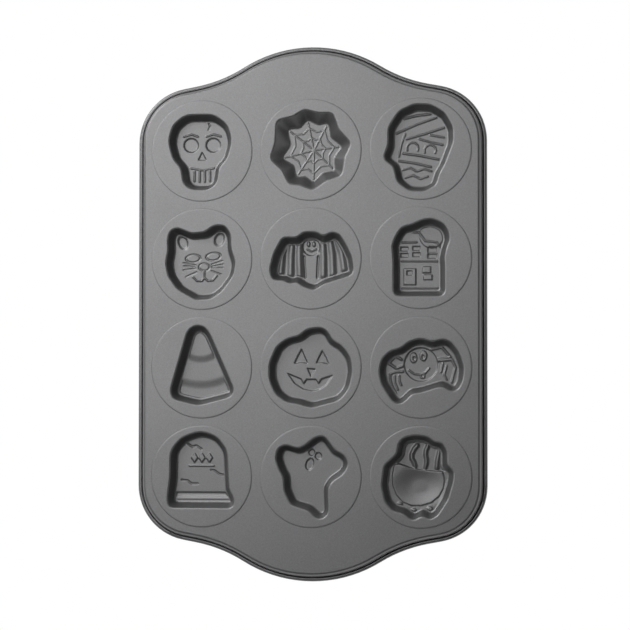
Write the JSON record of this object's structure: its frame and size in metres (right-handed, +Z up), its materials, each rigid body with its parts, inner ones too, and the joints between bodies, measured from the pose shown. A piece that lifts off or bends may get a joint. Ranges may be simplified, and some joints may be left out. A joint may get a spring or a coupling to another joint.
{
  "type": "cookie mold pan",
  "caption": "Flat steel baking pan with a rolled rim and drawn novelty cavities for shaped biscuits, each in its own round insert.",
  "frame": {"origin": "under the middle of the pan, on the plane that the lowest flat undersides of the cavities rest on", "axes": "+Z up out of the cavities' mouths, +Y along the pan's longer side towards the row with the skull and the web, +X across its columns"},
  "size_m": [0.28, 0.4276, 0.0126],
  "materials": {
    "pan_coating": "fine-grained dark grey non-stick coating on steel sheet, satin",
    "wire": "drawn steel wire, closed in by the coated bead"
  },
  "bodies": {
    "root": {"pan_sheet": "pan_coating", "rim_wire": "wire", "skull_insert": "pan_coating", "web_insert": "pan_coating", "mummy_insert": "pan_coating", "cat_insert": "pan_coating", "bat_insert": "pan_coating", "house_insert": "pan_coating", "candy_corn_insert": "pan_coating", "pumpkin_insert": "pan_coating", "spider_insert": "pan_coating", "tombstone_insert": "pan_coating", "ghost_insert": "pan_coating", "cauldron_insert": "pan_coating"}
  },
  "joints": []
}
